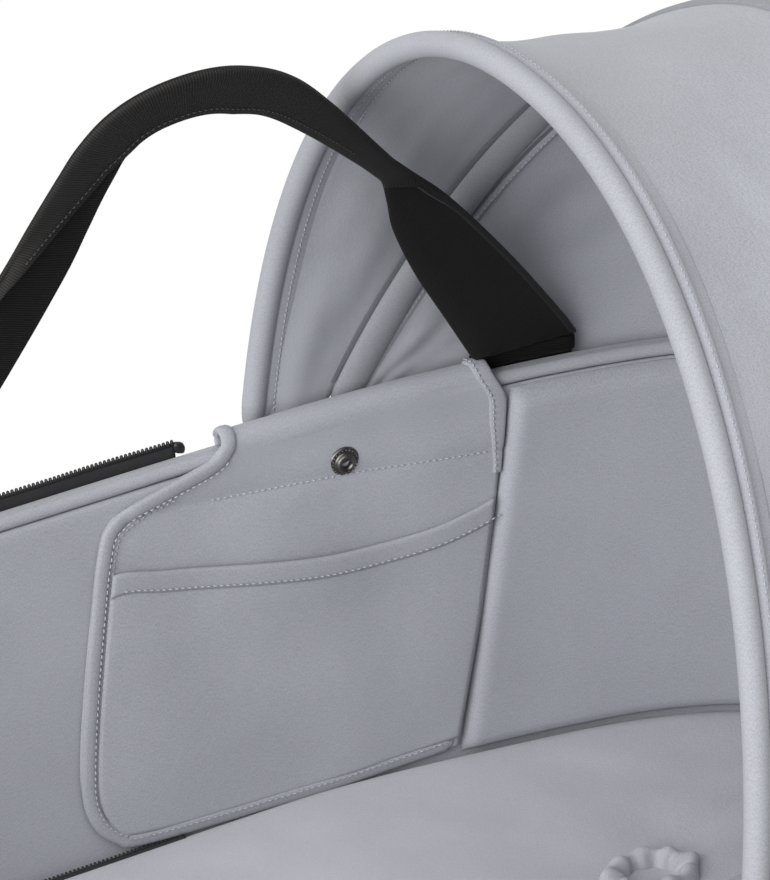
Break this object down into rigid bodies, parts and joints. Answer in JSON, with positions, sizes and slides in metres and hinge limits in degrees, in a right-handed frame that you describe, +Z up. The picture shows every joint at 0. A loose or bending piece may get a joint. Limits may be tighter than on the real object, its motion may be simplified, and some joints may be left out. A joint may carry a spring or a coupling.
{
  "type": "carrycot",
  "caption": "Padded fabric carrycot with a mattress, a folding hood on bows, an inside pocket flap, webbing carry handles and release sockets for a chassis.",
  "frame": {"origin": "middle of the flat underside of the base tray", "axes": "+X to the head end with the hood, +Y to the side whose handle stands up, +Z up"},
  "size_m": [0.7915, 0.4554, 0.4997],
  "materials": {
    "grey_twill": "twill",
    "black_webbing": "ribbed",
    "black_zip": "satin",
    "gunmetal": "satin",
    "aluminium_tube": "satin",
    "zinc_steel": "satin",
    "dark_plastic": "matte",
    "white_foam": "foam",
    "wall_board": "matte"
  },
  "bodies": {
    "tub": {"base_tray": "dark_plastic", "base_board": "wall_board", "far_wall_board": "wall_board", "near_wall_board": "wall_board", "head_wall_board": "wall_board", "foot_wall_board": "wall_board", "rim_tube": "aluminium_tube", "rim_piping": "grey_twill", "outer_cover": "grey_twill", "inner_liner": "grey_twill", "head_pad": "grey_twill", "flap_wrap": "grey_twill", "mattress_cover": "grey_twill", "mattress_core": "white_foam", "mattress_zip": "black_zip", "mattress_pull": "grey_twill", "apron_zip_tape": "black_zip", "apron_zip_coil": "black_zip", "apron_zip_stop_far": "black_zip", "apron_zip_stop_near": "black_zip", "far_strap_foot": "black_webbing", "far_strap_head": "black_webbing", "near_strap_foot": "black_webbing", "near_strap_head": "black_webbing", "hub_mount_far": "dark_plastic", "hub_mount_near": "dark_plastic", "hub_bolt_far": "zinc_steel", "hub_bolt_near": "zinc_steel", "hub_washer_far": "dark_plastic", "hub_washer_near": "dark_plastic", "hub_cap_far": "dark_plastic", "hub_cap_near": "dark_plastic", "hood_rear_canopy": "grey_twill", "hood_rear_strip": "black_webbing", "adapter_housing_far": "dark_plastic", "adapter_housing_near": "dark_plastic", "plunger_spring_far": "zinc_steel", "plunger_spring_near": "zinc_steel"},
    "hood_mid": {"hood_mid_bow": "aluminium_tube", "hood_mid_sleeve": "grey_twill", "hood_front_canopy": "grey_twill"},
    "hood_front": {"hood_front_bow": "aluminium_tube", "hood_front_binding": "grey_twill"},
    "far_handle": {"far_handle_webbing": "black_webbing"},
    "near_handle": {"near_handle_webbing": "black_webbing"},
    "pocket_flap": {"flap_panel": "grey_twill", "flap_binding": "grey_twill", "pocket_panel": "grey_twill", "pocket_hem": "grey_twill", "flap_snap": "gunmetal"},
    "release_far": {"release_plunger_far": "gunmetal"},
    "release_near": {"release_plunger_near": "gunmetal"}
  },
  "joints": [
    {"name": "hood_mid_hinge", "type": "hinge", "parent": "tub", "child": "hood_mid", "pos_m": [0.0876, 0, 0.2116], "axis": [0, 1, 0], "range_deg": [0, 27], "deforming": ["hood_rear_canopy"]},
    {"name": "hood_front_hinge", "type": "hinge", "parent": "hood_mid", "child": "hood_front", "pos_m": [0.0876, 0, 0.2116], "axis": [0, 1, 0], "range_deg": [0, 21.6], "deforming": ["hood_front_canopy"]},
    {"name": "far_handle_hinge", "type": "hinge", "parent": "tub", "child": "far_handle", "pos_m": [0.05475, 0.19104, 0.2505], "axis": [0.9996, -0.0287, 0], "range_deg": [-2, 33]},
    {"name": "near_handle_hinge", "type": "hinge", "parent": "tub", "child": "near_handle", "pos_m": [0.05475, -0.20743, 0.24], "axis": [-0.9997, -0.0248, 0], "range_deg": [0, 105]},
    {"name": "pocket_flap_hinge", "type": "hinge", "parent": "tub", "child": "pocket_flap", "pos_m": [0.12516, 0.18146, 0.2351], "axis": [-0.9986, 0.0535, 0], "range_deg": [0, 95]},
    {"name": "release_far_slide", "type": "slide", "parent": "tub", "child": "release_far", "axis": [0, 1, 0], "range_m": [0, 0.0045], "stiffness_N_per_m": 600, "springref_m": -0.004, "deforming": ["plunger_spring_far"]},
    {"name": "release_near_slide", "type": "slide", "parent": "tub", "child": "release_near", "axis": [0, -1, 0], "range_m": [0, 0.0045], "stiffness_N_per_m": 600, "springref_m": -0.004, "deforming": ["plunger_spring_near"]}
  ],
  "couplings": [
    {"joint": "hood_front_hinge", "follows": "hood_mid_hinge", "ratio": 0.8}
  ]
}
